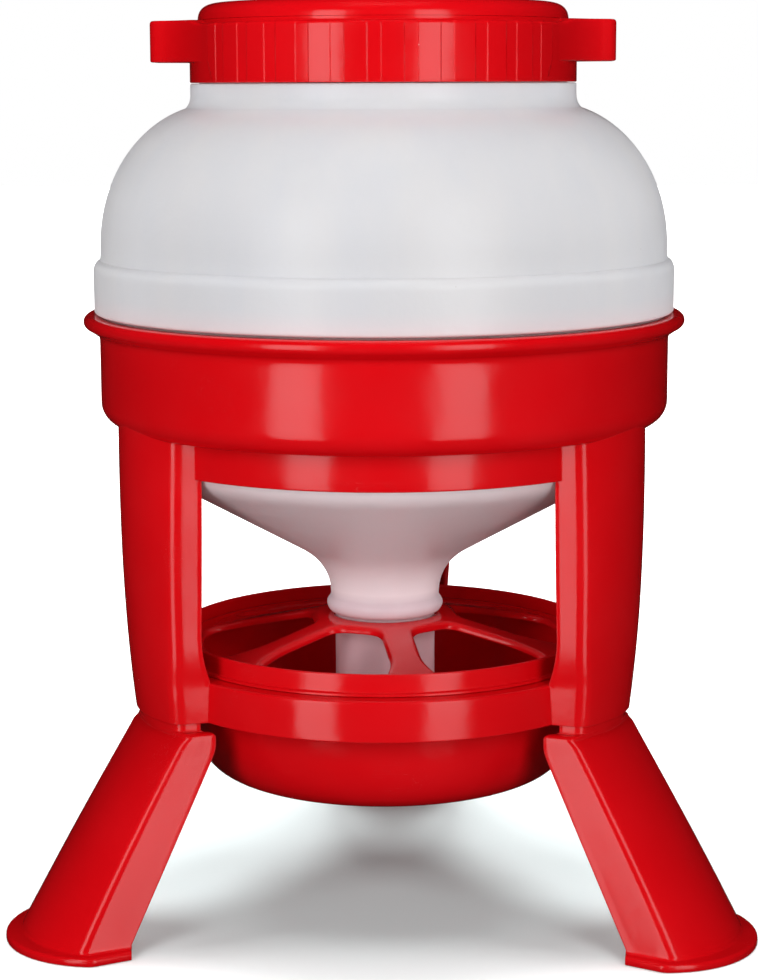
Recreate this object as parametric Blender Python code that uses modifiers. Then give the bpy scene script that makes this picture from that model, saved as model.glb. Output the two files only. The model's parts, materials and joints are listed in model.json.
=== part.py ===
"""Gravity poultry feeder: a translucent hopper in a red three-legged stand, over a round feed pan.

Every piece is turned or lofted about the feeder's upright axis, so each is modelled about its own Z
and hangs from the empty feeder_axis. The axis stands a little in front of the origin, because the
origin is the middle of the whole feeder's footprint and one leg points straight back.
Sizes are in metres.
"""
import math

import bmesh
import bpy

# Clearances and walls
GAP = 0.0003
WALL = 0.003
TURN_STEPS = 36
SEAM_ANGLE = math.radians(2.3)

# Stand: basket with its skirt, three columns and the lower ring, which carry each other rigidly
RIM_R = 0.2024
RIM_TOP = 0.4045
BASKET_R = 0.1917
STEP_TOP = 0.346
STEP_ROUND = 0.0147
STEP_SLOPE = 0.0004
SKIRT_R = 0.1685
SKIRT_BOTTOM = 0.3073
RING_R = 0.157
RING_TOP = 0.172
STAND_BOTTOM = 0.145
LEDGE_R = 0.141
COLUMN_TOP = 0.345
COLUMN_ROUND = 0.012
COLUMN_DRAFT = 12
COLUMN_TOP_R = 0.189
COLUMN_FOOT_R = 0.179
COLUMN_TOP_FACE = 0.072
COLUMN_FOOT_FACE = 0.090
COLUMN_TOP_HALF = 0.0482
COLUMN_FOOT_HALF = 0.0393
COLUMN_EDGE = 0.157
COLUMN_FLARE_R = 0.150

# Legs: each one plugs into a column and leans out to a flanged foot
LEG_AZIMUTHS = {"leg_front_left": 210, "leg_front_right": 330, "leg_back": 90}
SPIGOT_TOP = 0.188
SPIGOT_EDGE = 0.1548
SPIGOT_SLIP = 0.0004
LEG_TOP = 0.139
LEG_KNEE = 0.128
LEG_TOP_DRAFT = 9
LEG_FOOT_DRAFT = 3
LEG_TOP_R = 0.1755
LEG_FOOT_R = 0.2690
LEG_TOP_FACE = 0.115
LEG_FOOT_FACE = 0.070
LEG_TOP_ROUND = 0.007
LEG_FOOT_ROUND = 0.0095
LEG_TOP_HALF = 0.0447
LEG_FOOT_HALF = 0.0512
LEG_EDGE_R = 0.1483
LEG_EDGE_LEAN = 0.535
FLANGE_THICK = 0.0055
FOOT_REACH = 0.2780
FOOT_HALF = 0.0575
FOOT_FACE = 0.066
FOOT_ROUND = 0.011
FOOT_EDGE_R = 0.2155

# Feed pan and anti-waste grid
PAN_RIM_R = 0.144
PAN_RIM_TOP = 0.1864
PAN_FLOOR = 0.088
PAN_WALL = 0.0025
GRID_R = 0.1404
GRID_HUB_TOP = 0.1965
GRID_BORE = 0.035
GRID_THICK = 0.0025
GRID_COLLAR = 0.007
OPENING_COUNT = 6
SPOKE_HALF = 0.0105
FIRST_OPENING = 10.5

# Hopper
MOUTH_TOP = 0.5869
FINISH_R = 0.122
NECK_R = 0.1286
NECK_TOP = 0.5566
SHOULDER_R = 0.190
SHOULDER_Z = 0.450
BAND_R = 0.195
HOPPER_WALL = 0.0028
CONE_R = 0.1172
CONE_Z = 0.276
CONE_RUN = 1.8
TUBE_R = 0.034
TUBE_END = 0.125

# Screw lid and its seal
LID_R = 0.1287
LID_BOTTOM = 0.557
LID_RING_TOP = 0.5948
LID_TOP = 0.609
LID_DOME_R = 0.123
LID_LAND = 0.590
EAR_REACH = 0.1538
EAR_BOTTOM = 0.5705
EAR_TOP = 0.5975
GRIP_R = 0.1302
THREAD_LEAD = 0.012
THREAD_R = 0.0024
THREAD_TURNS = 0.9
THREAD_START = 0.566

# The feeder's axis, so that the origin is the middle of the footprint
AXIS_Y = (RIM_R - FOOT_REACH) / 2

RED = (0.62, 0.004, 0.009, 1.0)
MILKY = (0.74, 0.73, 0.76, 1.0)
SEAL_GREY = (0.10, 0.10, 0.11, 1.0)


def clear_scene():
    for obj in list(bpy.data.objects):
        bpy.data.objects.remove(obj, do_unlink=True)


def new_collection(name, hidden=False):
    collection = bpy.data.collections.new(name)
    bpy.context.scene.collection.children.link(collection)
    collection.hide_render = hidden
    return collection


def material(name, colour, roughness):
    made = bpy.data.materials.new(name)
    made.use_nodes = True
    shader = made.node_tree.nodes["Principled BSDF"]
    shader.inputs["Base Color"].default_value = colour
    shader.inputs["Roughness"].default_value = roughness
    shader.inputs["Metallic"].default_value = 0.0
    return made


def add_object(name, mesh, collection):
    obj = bpy.data.objects.new(name, mesh)
    collection.objects.link(obj)
    if collection is cutters:
        obj.hide_render = True
        obj.display_type = "WIRE"
    return obj


def arc(centre, radius, start, end, steps):
    """Points (across, up) on a circle, from one angle to another, in degrees from the across axis."""
    points = []
    for index in range(steps + 1):
        angle = math.radians(start + (end - start) * index / steps)
        points.append((centre[0] + radius * math.cos(angle), centre[1] + radius * math.sin(angle)))
    return points


def bend(start, corner, end, steps):
    """Points of a smooth bend that leaves start towards corner and arrives at end from corner."""
    points = []
    for index in range(steps + 1):
        t = index / steps
        weights = ((1 - t) ** 2, 2 * t * (1 - t), t * t)
        points.append(tuple(
            weights[0] * a + weights[1] * b + weights[2] * c for a, b, c in zip(start, corner, end)
        ))
    return points


def outline_mesh(name, outline, closed):
    """Edges through the outline's (radius, height) points, in an upright plane through the axis."""
    across = math.cos(SEAM_ANGLE)
    along = math.sin(SEAM_ANGLE)
    mesh = bpy.data.meshes.new(name)
    count = len(outline)
    edges = [(index, index + 1) for index in range(count - 1)]
    if closed:
        edges.append((count - 1, 0))
    points = [(radius * across, radius * along, height) for radius, height in outline]
    mesh.from_pydata(points, edges, [])
    return mesh


def turned(name, outline, collection, closed=False, wall=0.0, steps=TURN_STEPS):
    """A solid of revolution. The outline runs down its outer side; an open one may get a wall inwards."""
    obj = add_object(name, outline_mesh(name, outline, closed), collection)
    screw = obj.modifiers.new("turn", "SCREW")
    screw.axis = "Z"
    screw.angle = math.radians(360)
    screw.steps = steps
    screw.render_steps = steps
    screw.use_merge_vertices = True
    screw.merge_threshold = 0.00001
    if wall:
        thicken(obj, wall, even=True)
    return obj


def thicken(obj, wall, even):
    solidify = obj.modifiers.new("wall", "SOLIDIFY")
    solidify.thickness = wall
    solidify.offset = -1
    solidify.use_even_offset = even


def combine(obj, other, operation):
    boolean = obj.modifiers.new(operation.lower(), "BOOLEAN")
    boolean.operation = operation
    boolean.solver = "EXACT"
    boolean.object = other


def weld_caps(mesh):
    work = bmesh.new()
    work.from_mesh(mesh)
    bmesh.ops.remove_doubles(work, verts=work.verts, dist=0.00001)
    work.to_mesh(mesh)
    work.free()


def bake(obj):
    """Turns an object's modifiers, or a curve, into plain mesh on an object of the same name."""
    was_curve = obj.type == "CURVE"
    bpy.context.view_layer.update()
    graph = bpy.context.evaluated_depsgraph_get()
    mesh = bpy.data.meshes.new_from_object(obj.evaluated_get(graph))
    if was_curve:
        weld_caps(mesh)
    name = obj.name
    collection = obj.users_collection[0]
    matrix = obj.matrix_world.copy()
    bpy.data.objects.remove(obj, do_unlink=True)
    baked = add_object(name, mesh, collection)
    baked.matrix_world = matrix
    return baked


def prism(name, outline, low, high):
    """A flat outline in plan, raised from one height to another, as a helper for Booleans."""
    curve = bpy.data.curves.new(name, "CURVE")
    curve.dimensions = "2D"
    curve.fill_mode = "BOTH"
    curve.extrude = (high - low) / 2
    spline = curve.splines.new("POLY")
    spline.points.add(len(outline) - 1)
    for point, (x, y) in zip(spline.points, outline):
        point.co = (x, y, 0, 1)
    spline.use_cyclic_u = True
    obj = add_object(name, curve, cutters)
    obj.location.z = (low + high) / 2
    return bake(obj)


def rounded(corners, steps=3):
    """An outline in plan whose corners (x, y, radius) are filleted."""
    outline = []
    count = len(corners)
    for index, (x, y, radius) in enumerate(corners):
        before = corners[index - 1]
        after = corners[(index + 1) % count]
        back = math.atan2(before[1] - y, before[0] - x)
        ahead = math.atan2(after[1] - y, after[0] - x)
        opening = (ahead - back) % (2 * math.pi)
        reach = radius / math.tan(min(opening, 2 * math.pi - opening) / 2)
        start = (x + reach * math.cos(back), y + reach * math.sin(back))
        end = (x + reach * math.cos(ahead), y + reach * math.sin(ahead))
        outline.extend(bend(start, (x, y), end, steps))
    return outline


def turned_about(outline, degrees):
    angle = math.radians(degrees)
    cosine = math.cos(angle)
    sine = math.sin(angle)
    return [(x * cosine - y * sine, x * sine + y * cosine) for x, y in outline]


def channel(inner, outer, half, corner, face, draft):
    """Half-round channel in plan: side, rounded corner, bowed outer face, corner and side again.

    inner and outer are distances from the feeder's axis, half is half the width at the inner edges,
    corner is the radius of the corners, face is the radius of the outer face and draft is the angle
    at which the sides close in towards the outer face, in degrees.
    """
    side = math.radians(90 - draft)
    bow = face - corner
    reach = math.cos(side) * inner + math.sin(side) * half - corner
    turn = side - math.acos((reach - math.cos(side) * (outer - face)) / bow)
    centre = (outer - face + bow * math.cos(turn), bow * math.sin(turn))
    spread = math.degrees(turn)
    upper = arc(centre, corner, 90 - draft, spread, 3)
    face_points = arc((outer - face, 0), face, spread, -spread, 5)[1:-1]
    lower = [(x, -y) for x, y in reversed(upper)]
    return [(inner, half)] + upper + face_points + lower + [(inner, -half)]


def lofted(name, sections, collection, wall):
    """An open sheet through (outline, height) sections from top to bottom, with a wall inwards."""
    mesh = bpy.data.meshes.new(name)
    points = [(x, y, height) for outline, height in sections for x, y in outline]
    width = len(sections[0][0])
    faces = []
    for row in range(len(sections) - 1):
        for column in range(width - 1):
            low = row * width + column
            faces.append((low, low + 1, low + 1 + width, low + width))
    mesh.from_pydata(points, [], faces)
    obj = add_object(name, mesh, collection)
    thicken(obj, wall, even=False)
    return obj


def helix(name, radius, start):
    """The rounded thread ridge: a bar that climbs round the axis."""
    curve = bpy.data.curves.new(name, "CURVE")
    curve.dimensions = "3D"
    curve.bevel_depth = THREAD_R
    curve.bevel_resolution = 2
    curve.use_fill_caps = True
    spline = curve.splines.new("POLY")
    count = 32
    spline.points.add(count)
    for index, point in enumerate(spline.points):
        turn = THREAD_TURNS * index / count
        angle = 2 * math.pi * turn
        height = start + THREAD_LEAD * turn
        point.co = (radius * math.cos(angle), radius * math.sin(angle), height, 1)
    return bake(add_object(name, curve, cutters))


def finish(obj, look, azimuth=0.0):
    """Hangs a finished piece on the feeder's axis and gives it its look."""
    obj.parent = axis
    obj.rotation_euler.z = math.radians(azimuth)
    obj.data.materials.clear()
    obj.data.materials.append(look)
    obj.data.shade_smooth()
    obj.data.set_sharp_from_angle(angle=math.radians(30))


def column_plan(height, edge):
    """Outline of a column in plan: the columns lean in and narrow towards their feet."""
    drop = (COLUMN_TOP - height) / (COLUMN_TOP - STAND_BOTTOM)
    outer = COLUMN_TOP_R - (COLUMN_TOP_R - COLUMN_FOOT_R) * drop ** 2.6
    half = COLUMN_TOP_HALF - (COLUMN_TOP_HALF - COLUMN_FOOT_HALF) * drop ** 2
    face = COLUMN_TOP_FACE + (COLUMN_FOOT_FACE - COLUMN_TOP_FACE) * drop
    return channel(edge, outer, half, COLUMN_ROUND, face, COLUMN_DRAFT)


def leg_plan(height):
    """Outline of a leg in plan: the legs lean out and widen towards their feet."""
    drop = (LEG_TOP - height) / LEG_TOP
    outer = LEG_TOP_R + (LEG_FOOT_R - LEG_TOP_R) * drop
    inner = LEG_EDGE_R + LEG_EDGE_LEAN * max(0, LEG_KNEE - height)
    half = LEG_TOP_HALF + (LEG_FOOT_HALF - LEG_TOP_HALF) * drop
    corner = LEG_TOP_ROUND + (LEG_FOOT_ROUND - LEG_TOP_ROUND) * drop
    face = LEG_TOP_FACE + (LEG_FOOT_FACE - LEG_TOP_FACE) * drop
    draft = LEG_TOP_DRAFT + (LEG_FOOT_DRAFT - LEG_TOP_DRAFT) * drop
    return channel(inner, outer, half, corner, face, draft)


def build_basket():
    """The ring that holds the hopper: rolled rim, wall, rounded step and the narrower skirt below it."""
    inner = BASKET_R - WALL
    rim_roll = 0.0045
    step = (BASKET_R - STEP_ROUND, STEP_TOP)
    outline = (
        arc((RIM_R - rim_roll, RIM_TOP - rim_roll), rim_roll, 90, -60, 5)
        + bend((BASKET_R + 0.0035, RIM_TOP - 0.0135), (BASKET_R, RIM_TOP - 0.0150),
               (BASKET_R, RIM_TOP - 0.0190), 3)
        + arc(step, STEP_ROUND, 0, -90, 5)
        + [(SKIRT_R, STEP_TOP - STEP_ROUND - STEP_SLOPE), (SKIRT_R, SKIRT_BOTTOM)]
        + [(SKIRT_R - WALL, SKIRT_BOTTOM), (SKIRT_R - WALL, STEP_TOP - STEP_ROUND + WALL)]
        + arc(step, STEP_ROUND - WALL, -90, 0, 5)
        + [(inner, RIM_TOP - 0.0060), (inner + 0.0012, RIM_TOP - 0.0015), (inner + 0.0030, RIM_TOP)]
    )
    finish(turned("basket", outline, parts, closed=True), red)


def build_pan_ring():
    """The lower ring: an upright band with a ledge on top that the pan's lip rests on."""
    edge = 0.0015
    outline = [
        (LEDGE_R, RING_TOP), (RING_R - edge, RING_TOP), (RING_R, RING_TOP - edge),
        (RING_R, STAND_BOTTOM), (RING_R - WALL, STAND_BOTTOM), (RING_R - WALL, RING_TOP - WALL),
        (LEDGE_R, RING_TOP - WALL),
    ]
    finish(turned("pan_ring", outline, parts, closed=True), red)


def build_columns():
    """Three hollow columns, open at the back, moulded to the basket above and the lower ring below."""
    levels = [(COLUMN_TOP, COLUMN_EDGE), (0.320, COLUMN_EDGE), (0.270, COLUMN_EDGE), (0.225, COLUMN_EDGE),
              (0.195, 0.1563), (0.180, 0.1535), (0.1735, COLUMN_FLARE_R),
              (STAND_BOTTOM - GAP, COLUMN_FLARE_R)]
    sections = [(column_plan(height, edge), height) for height, edge in levels]
    column = bake(lofted("column", sections, cutters, WALL))
    inside = 0.120
    above = STEP_TOP + 0.020
    skirt_room = (
        [(inside, above), (BASKET_R + GAP, above)]
        + arc((BASKET_R - STEP_ROUND, STEP_TOP), STEP_ROUND + GAP, 0, -90, 6)
        + [(SKIRT_R + GAP, STEP_TOP - STEP_ROUND - STEP_SLOPE - GAP)]
        + [(SKIRT_R + GAP, SKIRT_BOTTOM - GAP), (inside, SKIRT_BOTTOM - GAP)]
    )
    ring_room = [(inside, RING_TOP + GAP), (RING_R + GAP, RING_TOP + GAP),
                 (RING_R + GAP, STAND_BOTTOM - WALL), (inside, STAND_BOTTOM - WALL)]
    for name, room in (("skirt_room", skirt_room), ("ring_room", ring_room)):
        combine(column, bake(turned(name, room, cutters, closed=True)), "DIFFERENCE")
    column = bake(column)
    for name, azimuth in LEG_AZIMUTHS.items():
        finish(add_object(name.replace("leg", "column"), column.data, parts), red, azimuth)
    bpy.data.objects.remove(column, do_unlink=True)


def build_legs():
    """Three channel legs, each with a spigot that plugs into a column and a flanged foot."""
    inset = WALL + SPIGOT_SLIP
    draft = math.radians(COLUMN_DRAFT)
    spigot_half = (COLUMN_FOOT_HALF - inset / math.cos(draft)
                   - (SPIGOT_EDGE - COLUMN_FLARE_R) * math.tan(draft))
    spigot = channel(SPIGOT_EDGE, COLUMN_FOOT_R - inset, spigot_half, COLUMN_ROUND - inset,
                     COLUMN_FOOT_FACE - inset, COLUMN_DRAFT)
    shoulder = 0.0008
    sections = [(spigot, SPIGOT_TOP), (spigot, LEG_TOP + 0.022), (spigot, LEG_TOP)]
    sections += [(leg_plan(height), height) for height in
                 (LEG_TOP - shoulder, LEG_KNEE, 0.090, 0.050, FLANGE_THICK / 2)]
    leg = lofted("leg", sections, cutters, WALL)
    foot = channel(FOOT_EDGE_R, FOOT_REACH, FOOT_HALF, FOOT_ROUND, FOOT_FACE, 0)
    flange = prism("foot_flange", foot, 0, FLANGE_THICK)
    hollow_wall = WALL + 0.0004
    hollow = channel(FOOT_EDGE_R - 0.010, LEG_FOOT_R - hollow_wall, LEG_FOOT_HALF - hollow_wall,
                     LEG_FOOT_ROUND - WALL, LEG_FOOT_FACE - WALL, LEG_FOOT_DRAFT)
    combine(flange, prism("foot_hollow", hollow, -0.010, 0.020), "DIFFERENCE")
    flange = bake(flange)
    combine(leg, flange, "UNION")
    leg = bake(leg)
    for name, azimuth in LEG_AZIMUTHS.items():
        finish(add_object(name, leg.data, parts), red, azimuth)
    bpy.data.objects.remove(leg, do_unlink=True)


def build_pan():
    lip = RING_TOP + GAP
    ledge = lip + 0.002
    bowl_r = LEDGE_R - 0.0015
    floor_r = 0.100
    inner_r = bowl_r - PAN_WALL
    outline = (
        [(0, PAN_FLOOR + 0.020), (0.010, PAN_FLOOR + 0.019)]
        + [(0.068, PAN_FLOOR + PAN_WALL), (floor_r, PAN_FLOOR + PAN_WALL)]
        + bend((floor_r, PAN_FLOOR + PAN_WALL), (0.1285, PAN_FLOOR + PAN_WALL), (0.1325, 0.130), 4)[1:]
        + [(inner_r, ledge), (PAN_RIM_R - PAN_WALL, ledge), (PAN_RIM_R - PAN_WALL, PAN_RIM_TOP - 0.001)]
        + [(PAN_RIM_R - 0.0018, PAN_RIM_TOP), (PAN_RIM_R - 0.0007, PAN_RIM_TOP)]
        + [(PAN_RIM_R, PAN_RIM_TOP - 0.001), (PAN_RIM_R, lip + 0.0022)]
        + [(PAN_RIM_R + 0.0025, lip + 0.0016), (PAN_RIM_R + 0.0025, lip), (bowl_r, lip)]
        + bend((0.135, 0.130), (0.131, PAN_FLOOR), (floor_r, PAN_FLOOR), 4)
        + [(0.068, PAN_FLOOR), (0.010, PAN_FLOOR + 0.0165), (0, PAN_FLOOR + 0.0175)]
    )
    finish(turned("feed_pan", outline, parts), red)


def opening_outline(grow):
    """One grid opening in plan about +X, made larger all round by grow."""
    slope = math.radians(180 / OPENING_COUNT)
    spoke_half = SPOKE_HALF - grow
    inner_x = 0.050 - grow
    outer_x = 0.1275 + grow
    inner_y = inner_x * math.tan(slope) - spoke_half / math.cos(slope)
    outer_y = 0.090 * math.tan(slope) - spoke_half / math.cos(slope)
    corners = [
        (inner_x, -inner_y, 0.014 + grow), (0.090, -outer_y, 0.060),
        (outer_x - 0.009, -outer_y - 0.006, 0.014 + grow), (outer_x, 0, 0.080),
        (outer_x - 0.009, outer_y + 0.006, 0.014 + grow), (0.090, outer_y, 0.060),
        (inner_x, inner_y, 0.014 + grow),
    ]
    return rounded(corners)


def grid_outline(drop, thick):
    """The grid's section: a plate of that thickness, whose top is lowered by drop."""
    rim_low = RING_TOP + GAP + 0.002 + GAP
    rim_top = rim_low + GRID_THICK
    hub_r = 0.045
    slope_r = 0.131
    return [
        (GRID_BORE + drop, GRID_HUB_TOP - drop), (hub_r, GRID_HUB_TOP - drop),
        (slope_r, rim_top + 0.0005 - drop), (GRID_R - drop, rim_top - drop),
        (GRID_R - drop, rim_low + drop), (slope_r, rim_top + 0.0005 - thick),
        (hub_r, GRID_HUB_TOP - thick), (GRID_BORE + drop, GRID_HUB_TOP - thick),
    ]


def build_grid():
    """A conical plate with six openings, whose edges are turned down so that no feed is raked out."""
    grid = turned("anti_waste_grid", grid_outline(0, GRID_THICK), parts, closed=True)
    collars = turned("collars", grid_outline(0.0005, GRID_COLLAR), cutters, closed=True)
    collar_zone = []
    holes = []
    for index in range(OPENING_COUNT):
        azimuth = FIRST_OPENING + index * 360 / OPENING_COUNT
        wide = turned_about(opening_outline(0.0022), azimuth)
        collar_zone.append(prism(f"collar_{index}", wide, 0.150, 0.210))
        hole = turned_about(opening_outline(0), azimuth)
        holes.append(prism(f"opening_{index}", hole, 0.150, 0.210))
    zone = collar_zone[0]
    for other in collar_zone[1:]:
        combine(zone, other, "UNION")
    zone = bake(zone)
    combine(collars, zone, "INTERSECT")
    collars = bake(collars)
    combine(grid, collars, "UNION")
    for hole in holes:
        combine(grid, hole, "DIFFERENCE")
    finish(bake(grid), red)


def hopper_outline():
    half_wide = 0.080
    tall = 0.094
    centre_r = SHOULDER_R - half_wide
    shoulder = []
    for index in range(6):
        angle = math.radians(74 - 74 * index / 5)
        shoulder.append((centre_r + half_wide * math.cos(angle), SHOULDER_Z + tall * math.sin(angle)))
    seat_r = BASKET_R - WALL - 0.0022
    seat_z = STEP_TOP - STEP_ROUND + WALL + GAP
    body_r = SKIRT_R - WALL - 0.0025
    corner_z = CONE_Z + (body_r - CONE_R) / CONE_RUN
    cone_out = 0.148
    cone_in = 0.060
    throat_r = 0.037

    def cone_z(radius):
        return CONE_Z + (radius - CONE_R) / CONE_RUN

    return (
        [(FINISH_R, MOUTH_TOP), (FINISH_R, NECK_TOP), (NECK_R, NECK_TOP)]
        + bend((NECK_R, 0.5480), (NECK_R + 0.0005, 0.5430), shoulder[0], 2)
        + shoulder[1:]
        + [(SHOULDER_R + 0.0003, 0.4430)]
        + bend((SHOULDER_R + 0.0015, 0.4405), (BAND_R, 0.4385), (BAND_R, 0.4330), 2)
        + bend((BAND_R, 0.4125), (BAND_R - 0.0005, 0.4080), (SHOULDER_R - 0.0012, 0.4050), 2)
        + [(seat_r + 0.0004, 0.4000)]
        + arc((seat_r - 0.012, seat_z + 0.012), 0.012, 0, -90, 3)
        + [(body_r + 0.0020, seat_z), (body_r, seat_z - 0.0035)]
        + bend((body_r, corner_z + 0.010), (body_r, corner_z), (cone_out, cone_z(cone_out)), 2)
        + bend((cone_in, cone_z(cone_in)), (throat_r, cone_z(throat_r)), (throat_r, 0.2095), 4)
        + arc((throat_r - 0.0035, 0.2032), 0.0062, 45, -70, 4)
        + [(TUBE_R, GRID_HUB_TOP + GAP), (TUBE_R, TUBE_END)]
    )


def build_hopper():
    hopper = turned("hopper", hopper_outline(), parts, wall=HOPPER_WALL)
    combine(hopper, helix("neck_thread", FINISH_R, THREAD_START), "UNION")
    finish(bake(hopper), milky)


def ear_outline():
    """A lid ear in plan about +X, with its flanks drawn in to the ring."""
    root = 27
    root_r = LID_R - 0.0010
    inside = arc((0, 0), root_r, -root, root, 8)
    upper = bend(inside[-1], (0.1300, 0.0330), (EAR_REACH - 0.009, 0.0250), 5)[1:]
    corner = bend(upper[-1], (EAR_REACH, 0.0235), (EAR_REACH, 0.0160), 3)[1:]
    half = upper + corner
    return inside + half + [(x, -y) for x, y in reversed(half)]


def grip_outline():
    """The grip band on one side of the lid in plan, between the two ears."""
    return arc((0, 0), GRIP_R, 30, 150, 14) + arc((0, 0), LID_R - 0.0010, 150, 30, 16)


def build_lid():
    outline = (
        [(0, LID_TOP - 0.0045), (0.090, LID_TOP - 0.0045)]
        + bend((0.094, LID_TOP - 0.0040), (0.099, LID_TOP), (0.106, LID_TOP), 3)
        + bend((0.110, LID_TOP), (LID_DOME_R, LID_TOP), (LID_DOME_R, LID_TOP - 0.0115), 5)
        + [(LID_DOME_R, LID_RING_TOP + 0.0020)]
        + bend((0.1245, LID_RING_TOP), (LID_R, LID_RING_TOP), (LID_R, LID_RING_TOP - 0.0025), 3)
        + [(LID_R, LID_BOTTOM), (LID_R - WALL, LID_BOTTOM), (LID_R - WALL, LID_LAND)]
        + [(LID_DOME_R - 0.0035, LID_LAND), (LID_DOME_R - 0.0035, LID_TOP - 0.0120)]
        + [(0.112, LID_TOP - 0.0035), (0.098, LID_TOP - 0.0040)]
        + [(0.093, LID_TOP - 0.0075), (0, LID_TOP - 0.0075)]
    )
    lid = turned("lid", outline, parts)
    for side in (0, 180):
        ear = prism(f"ear_{side}", turned_about(ear_outline(), side), EAR_BOTTOM, EAR_TOP)
        combine(lid, ear, "UNION")
        band = prism(f"grip_{side}", turned_about(grip_outline(), side), LID_BOTTOM + 0.0005,
                     LID_RING_TOP - 0.0015)
        combine(lid, band, "UNION")
    pocket = rounded([(0.1320, 0.0220, 0.004), (0.1320, -0.0220, 0.004), (0.1515, -0.0195, 0.005),
                      (0.1515, 0.0195, 0.005)])
    for side in (0, 180):
        hollow = prism(f"ear_hollow_{side}", turned_about(pocket, side), EAR_BOTTOM - 0.010,
                       EAR_TOP - WALL)
        combine(lid, hollow, "DIFFERENCE")
    combine(lid, helix("lid_thread", LID_R - WALL + GAP, THREAD_START - THREAD_LEAD / 2), "UNION")
    finish(bake(lid), red)


def build_seal():
    top = LID_LAND - GAP
    low = MOUTH_TOP + GAP
    inner = FINISH_R - HOPPER_WALL - 0.0015
    outer = LID_R - WALL - 0.0011
    outline = [(inner, top), (outer, top), (outer, low), (inner, low)]
    finish(turned("lid_seal", outline, parts, closed=True), rubber)


clear_scene()
parts = new_collection("gravity_poultry_feeder")
cutters = new_collection("construction_shapes", hidden=True)
axis = bpy.data.objects.new("feeder_axis", None)
axis.location.y = AXIS_Y
parts.objects.link(axis)
red = material("red_plastic", RED, 0.22)
milky = material("milky_plastic", MILKY, 0.40)
rubber = material("seal_rubber", SEAL_GREY, 0.70)
build_basket()
build_pan_ring()
build_columns()
build_legs()
build_pan()
build_grid()
build_hopper()
build_lid()
build_seal()
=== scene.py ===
"""Looks of the gravity poultry feeder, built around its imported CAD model.

Every piece is shaped about the feeder's upright axis, in metres, with the sizes that the CAD model has.
"""
import json
from math import acos, ceil, cos, degrees, exp, hypot, pi, radians, sin, sqrt, tan

import bmesh
import bpy
from mathutils import Matrix, Vector


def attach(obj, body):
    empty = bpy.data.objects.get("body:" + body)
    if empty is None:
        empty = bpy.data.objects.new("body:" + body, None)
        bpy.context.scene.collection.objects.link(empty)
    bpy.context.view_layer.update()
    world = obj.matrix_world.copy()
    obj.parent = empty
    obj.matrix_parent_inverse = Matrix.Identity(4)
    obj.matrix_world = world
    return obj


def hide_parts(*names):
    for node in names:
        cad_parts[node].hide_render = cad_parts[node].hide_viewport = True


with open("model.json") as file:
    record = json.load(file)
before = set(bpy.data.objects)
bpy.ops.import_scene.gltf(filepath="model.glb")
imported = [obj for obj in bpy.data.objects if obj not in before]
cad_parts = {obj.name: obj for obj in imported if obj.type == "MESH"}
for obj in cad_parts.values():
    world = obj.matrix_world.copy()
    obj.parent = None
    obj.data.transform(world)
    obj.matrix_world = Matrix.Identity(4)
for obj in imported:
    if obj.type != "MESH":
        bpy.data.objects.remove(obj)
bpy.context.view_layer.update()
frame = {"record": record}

# Clearance, wall of the red mouldings and steps of a turned shape
GAP = 0.0003
WALL = 0.003
STEPS = 240

# Stand: basket ring, skirt, three columns and the lower ring are one moulding
RIM_R = 0.2024
RIM_TOP = 0.4045
RIM_ROLL = 0.0045
EDGE_ROUND = 0.0012
BASKET_R = 0.1917
STEP_TOP = 0.346
STEP_ROUND = 0.0147
SKIRT_R = 0.1685
SKIRT_BOTTOM = 0.3073
RING_R = 0.157
RING_TOP = 0.172
STAND_BOTTOM = 0.145
COLUMN_FLARE_TOP = 0.205
LEDGE_R = 0.141
COLUMN_TOP = 0.345
COLUMN_ROUND = 0.012
COLUMN_DRAFT = 12
COLUMN_TOP_R = 0.189
COLUMN_FOOT_R = 0.179
COLUMN_TOP_FACE = 0.072
COLUMN_FOOT_FACE = 0.090
COLUMN_TOP_HALF = 0.0482
COLUMN_FOOT_HALF = 0.0393
COLUMN_EDGE = 0.157
COLUMN_FLARE_R = 0.150

# Legs: each one plugs into a column and leans out to a flanged foot
LEG_AZIMUTHS = {"leg_front_left": 210, "leg_front_right": 330, "leg_back": 90}
SPIGOT_TOP = 0.188
SPIGOT_EDGE = 0.1548
SPIGOT_SLIP = 0.0004
LEG_TOP = 0.139
LEG_KNEE = 0.128
LEG_TOP_DRAFT = 9
LEG_FOOT_DRAFT = 3
LEG_TOP_R = 0.1755
LEG_FOOT_R = 0.2690
LEG_TOP_FACE = 0.115
LEG_FOOT_FACE = 0.070
LEG_TOP_ROUND = 0.007
LEG_FOOT_ROUND = 0.0095
LEG_TOP_HALF = 0.0447
LEG_FOOT_HALF = 0.0512
LEG_EDGE_R = 0.1483
LEG_EDGE_LEAN = 0.535
FLANGE_THICK = 0.0055
FOOT_REACH = 0.2780
FOOT_TIP_INSET = 0.0015
FOOT_HALF = 0.0575
FOOT_FACE = 0.066
FOOT_ROUND = 0.011
FOOT_EDGE_R = 0.2155

# Feed pan and anti-waste grid
PAN_RIM_R = 0.144
PAN_RIM_TOP = 0.1864
PAN_FLOOR = 0.088
PAN_WALL = 0.0025
GRID_R = 0.1404
GRID_HUB_R = 0.045
GRID_SLOPE_R = 0.131
GRID_HUB_TOP = 0.1965
GRID_BORE = 0.035
GRID_THICK = 0.0025
GRID_COLLAR = 0.007
OPENING_COUNT = 6
FIRST_OPENING = 10.5
SPOKE_HALF = 0.0105

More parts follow.
